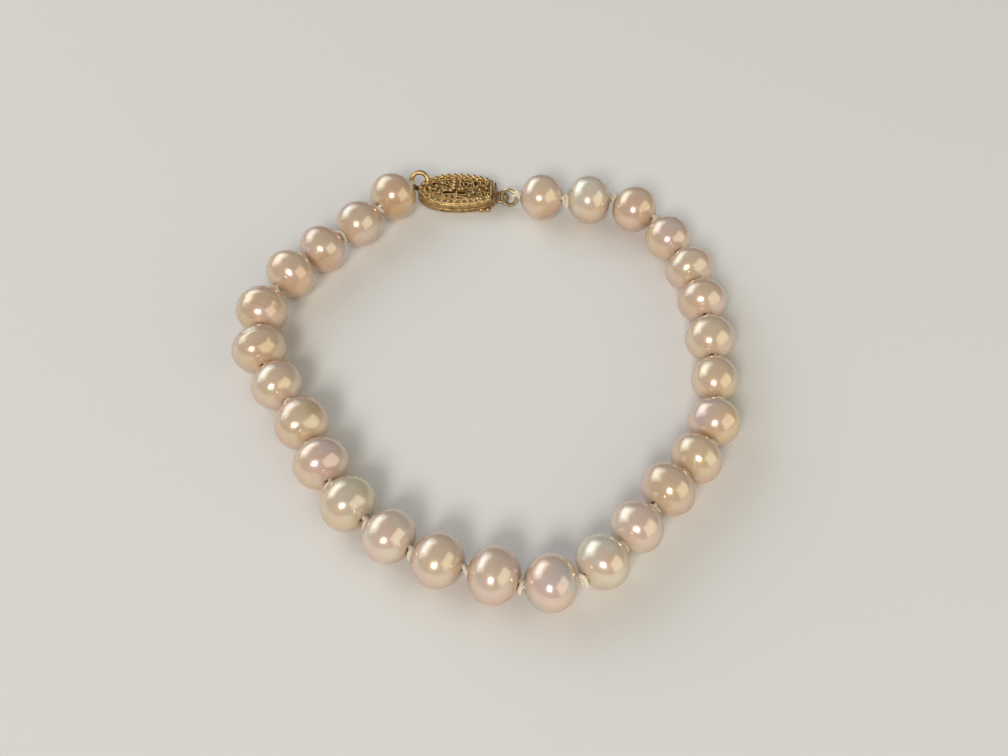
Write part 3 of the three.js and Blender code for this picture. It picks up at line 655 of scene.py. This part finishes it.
def laid(piece, finish, node):
    bpy.ops.object.select_all(action="DESELECT")
    piece.select_set(True)
    bpy.context.view_layer.objects.active = piece
    bpy.ops.object.shade_smooth_by_angle(angle=math.radians(38))
    piece.matrix_world = clasp_lies
    bpy.ops.object.transform_apply(location=True, rotation=True, scale=True)
    piece.data.materials.clear()
    piece.data.materials.append(finish)
    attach(piece, "root")
    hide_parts(node)


laid(box, old_gold, "clasp_box")


# --------------------------------------------------------------------------------------------
# The fishhook. A strip of the same gold folded back on itself, that springs against the box, with
# a cap and a small soldered eye on its outer end. It is pushed home, a little askew.
# --------------------------------------------------------------------------------------------

STRIP_WIDTH = 1.4
bpy.ops.object.select_all(action="DESELECT")
bpy.ops.mesh.primitive_plane_add(size=MM, location=(5.7 * MM, 0, -0.225 * MM), rotation=(0, math.pi / 2, 0))
strip = bpy.context.object
bpy.ops.object.transform_apply(location=True, rotation=True)
bpy.ops.object.mode_set(mode="EDIT")
bpy.ops.mesh.select_all(action="SELECT")
bpy.ops.transform.resize(value=(1, STRIP_WIDTH, 0.25), center_override=(5.7 * MM, 0, -0.225 * MM))
bpy.ops.mesh.extrude_region_move(TRANSFORM_OT_translate={"value": (-9.2 * MM, 0, 0)})
bpy.ops.mesh.spin(steps=10, angle=math.pi, center=(-3.5 * MM, 0, 0.09 * MM), axis=(0, 1, 0))
bpy.ops.mesh.extrude_region_move(TRANSFORM_OT_translate={"value": (7.6 * MM, 0, 0)})
bpy.ops.mesh.select_all(action="SELECT")
bpy.ops.mesh.normals_make_consistent(inside=False)
# Before the mouth its end is spread into a cap, which narrows to the eye.
pick(strip, lambda p: p.x > 5.6)
bpy.ops.transform.translate(value=(-0.30 * MM, 0, 0))
for step, wide, thick, lift in ((0.0, 2.1, 6.0, 0.12), (0.24, 1.0, 1.0, 0), (0.38, 0.34, 0.36, 0)):
    bpy.ops.mesh.extrude_region_move(TRANSFORM_OT_translate={"value": (step * MM, 0, lift * MM)})
    bpy.ops.transform.resize(value=(1, wide, thick), center_override=(5.7 * MM, 0, -0.225 * MM))
pick(strip, lambda p: p.x > 5.4 and abs(p.y) > 0.8)
bpy.ops.mesh.bevel(offset=0.07 * MM, segments=2)
bpy.ops.object.mode_set(mode="OBJECT")
eye = ring("eye", (6.5, 0, -0.22), (0, 0, 1), 0.85, 0.24)
hook = joined("fishhook_tongue", [tarnished_and_shaded(strip, -1.0, 0.6, 0.35), tarnished_and_shaded(eye, -0.5, -0.1, 0.15)])
hook.rotation_euler = (0, 0, math.radians(-3.5))
bpy.ops.object.transform_apply(rotation=True)
laid(hook, gold("dull_gold", (0.55, 0.365, 0.19), (0.16, 0.09, 0.048)), "clasp_hook")


# --------------------------------------------------------------------------------------------
# The jump ring. A closed ring of paler, greenish gold wire between the hook's eye and the silk, with painted
# shade darkening it towards its lower side.
# --------------------------------------------------------------------------------------------

link = ring("linking_ring", JUMP_RING, JUMP_RING_FACES, JUMP_RING_RADIUS, 0.27)
# Painted shade: the ring's gold is darker towards its lower side.
level = link.data.attributes.new("hollow", "FLOAT", "POINT")
for v, value in zip(link.data.vertices, level.data):
    value.value = max(0.0, min(1.0, 0.55 - v.co.z / MM * 0.3))
link.data.materials.append(gold("pale_gold", (0.66, 0.55, 0.30), (0.20, 0.14, 0.06)))
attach(link, "root")
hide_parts("jump_ring")


# --------------------------------------------------------------------------------------------
# The table and the light. A plain pale table top under a pale grey sky, a wide soft window at the
# back left, a warm lamp shade to the right and a small lamp near the viewer.
# --------------------------------------------------------------------------------------------

bpy.ops.object.select_all(action="DESELECT")
bpy.ops.mesh.primitive_circle_add(vertices=128, radius=0.8, fill_type="NGON")
floor = bpy.context.object
floor.name = "pale_table"
table = bpy.data.materials.new("pale_table")
table.use_nodes = True
table.node_tree.nodes["Principled BSDF"].inputs["Base Color"].default_value = (0.85, 0.82, 0.775, 1)
table.node_tree.nodes["Principled BSDF"].inputs["Roughness"].default_value = 0.7
floor.data.materials.append(table)

LIGHTS = [  # name, direction, distance, width, height, power, colour
    ("window", (-0.683, 0.525, 0.52), 2.5, 3.4, 2.1, 23, (0.87, 0.94, 1.0)),
    ("window_middle", (-0.683, 0.525, 0.52), 2.4, 1.9, 1.1, 9, (0.84, 0.92, 1.0)),
    ("lamp_shade", (0.774, -0.435, 0.47), 2.25, 2.5, 1.9, 15, (0.98, 0.97, 0.76)),
    ("small_lamp", (-0.198, -0.763, 0.614), 1.5, 0.44, 0.44, 10.5, (1.0, 0.97, 0.93)),
]
for name, direction, distance, width, height, power, colour in LIGHTS:
    lamp = bpy.data.lights.new(name, "AREA")
    lamp.shape, lamp.size, lamp.size_y = "RECTANGLE", width, height
    lamp.energy, lamp.color = power, colour
    stand = bpy.data.objects.new(name, lamp)
    bpy.context.scene.collection.objects.link(stand)
    way = Vector(direction).normalized()
    stand.location = way * distance
    stand.rotation_euler = way.to_track_quat("Z", "Y").to_euler()
    stand.visible_camera = False

# The sky lights the room dimly, and is seen behind the table as a pale wall.
bpy.context.scene.view_settings.view_transform = "Standard"
world = bpy.data.worlds.new("studio")
bpy.context.scene.world = world
world.use_nodes = True
tree = world.node_tree
dim = tree.nodes["Background"]
dim.inputs["Color"].default_value, dim.inputs["Strength"].default_value = (0.80, 0.80, 0.80, 1), 0.26
wall = add(tree, "ShaderNodeBackground", {"Color": (0.655, 0.635, 0.605, 1)}).outputs[0]
seen = add(tree, "ShaderNodeLightPath").outputs["Is Camera Ray"]
sky = add(tree, "ShaderNodeMixShader", {0: seen, 1: dim.outputs[0], 2: wall}).outputs[0]
tree.links.new(sky, tree.nodes["World Output"].inputs["Surface"])

# The viewer looks down on the bracelet from the near side, a little over half way up from level.
lens = bpy.data.cameras.new("viewer")
lens.sensor_width, lens.lens = 36.0, 42.86
lens.clip_start = 0.01
viewer = bpy.data.objects.new("viewer", lens)
bpy.context.scene.collection.objects.link(viewer)
viewer.location = Vector((2.71, -97.25, 117.51)) * MM
viewer.rotation_euler = (Vector((2.71, -0.65, 0)) * MM - viewer.location).to_track_quat("-Z", "Y").to_euler()
bpy.context.scene.camera = viewer
